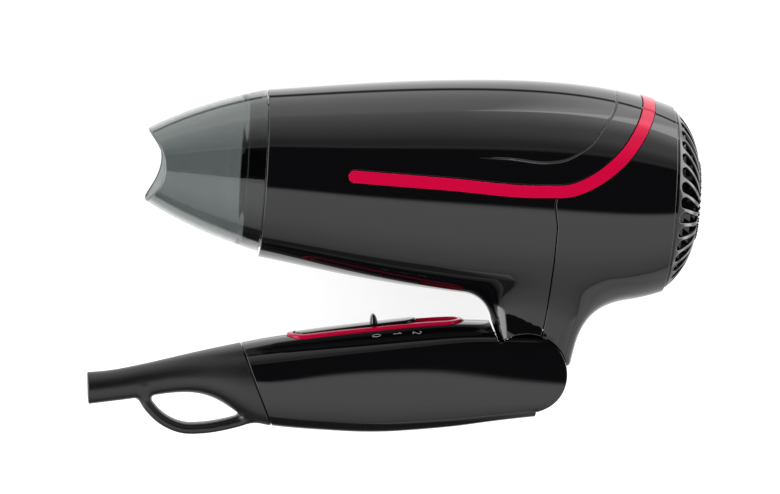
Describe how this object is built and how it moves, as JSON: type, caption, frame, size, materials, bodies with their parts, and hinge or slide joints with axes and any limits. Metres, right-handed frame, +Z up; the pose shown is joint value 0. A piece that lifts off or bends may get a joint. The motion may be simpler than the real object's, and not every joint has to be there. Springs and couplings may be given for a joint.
{
  "type": "travel hair dryer",
  "caption": "Folding travel hair dryer with a slide switch on the handle, a clear concentrator nozzle, a red trim ribbon and a domed intake grille.",
  "frame": {"origin": "under the middle of the whole dryer, on the surface that its widest side touches when it lies flat", "axes": "+X along the barrel from the nozzle to the intake grille, +Y from the folded handle to the barrel's top, +Z up out of the side that carries the switch numbers"},
  "size_m": [0.2304, 0.1439, 0.0777],
  "materials": {
    "gloss_black": "high gloss black moulded plastic",
    "raspberry": "raspberry red metallic lacquer",
    "smoke_clear": "clear moulded plastic with a grey smoke tint",
    "boot_black": "satin black flexible moulding",
    "dark_plastic": "satin dark plastic",
    "steel": "plated steel",
    "mica": "pressed mica board",
    "heater_wire": "bare resistance wire",
    "circuit_board": "green circuit board",
    "white_ceramic": "white ceramic and white plastic",
    "insulation_brown": "brown wire insulation",
    "insulation_blue": "blue wire insulation"
  },
  "bodies": {
    "barrel": {"front_casing": "gloss_black", "rear_casing": "gloss_black", "trim_ribbon": "raspberry", "intake_grille": "gloss_black", "outlet_grid": "dark_plastic", "fan_duct": "dark_plastic", "motor": "steel", "rectifier_board": "circuit_board", "mica_board_upright": "mica", "mica_board_flat": "mica", "heating_coil": "heater_wire", "mica_sleeve": "mica", "thermostat": "steel", "thermal_fuse": "white_ceramic", "heater_lead_live": "insulation_brown", "heater_lead_neutral": "insulation_blue", "motor_lead_positive": "insulation_brown", "motor_lead_negative": "insulation_blue", "neck_screw": "steel", "hinge_knuckle": "dark_plastic"},
    "nozzle": {"nozzle": "smoke_clear"},
    "fan": {"impeller": "dark_plastic", "motor_shaft": "steel"},
    "handle": {"handle_shell_near": "gloss_black", "handle_shell_far": "gloss_black", "handle_screw_1": "steel", "handle_screw_2": "steel", "handle_screw_3": "steel", "cord_boot": "boot_black", "switch_trim": "raspberry", "switch_block": "dark_plastic", "terminal_block": "white_ceramic", "suppression_capacitor": "dark_plastic", "lead_supply": "insulation_brown", "lead_live": "insulation_brown", "lead_neutral": "insulation_blue", "hinge_pin": "steel", "friction_washer_near": "steel", "friction_washer_far": "steel"},
    "slider": {"switch_slider": "gloss_black"}
  },
  "joints": [
    {"name": "handle_fold", "type": "hinge", "parent": "barrel", "child": "handle", "pos_m": [0.05278, -0.0397, 0.03886], "axis": [0, 0, 1], "range_deg": [0, 84.2]},
    {"name": "switch_slide", "type": "slide", "parent": "handle", "child": "slider", "axis": [0.9896, 0.1438, 0], "range_m": [0, 0.0158]},
    {"name": "nozzle_pull", "type": "slide", "parent": "barrel", "child": "nozzle", "axis": [-1, 0, 0], "range_m": [0, 0.03]},
    {"name": "fan_spin", "type": "hinge", "parent": "barrel", "child": "fan", "pos_m": [0.07518, 0.0299, 0.03886], "axis": [1, 0, 0], "continuous": true}
  ]
}
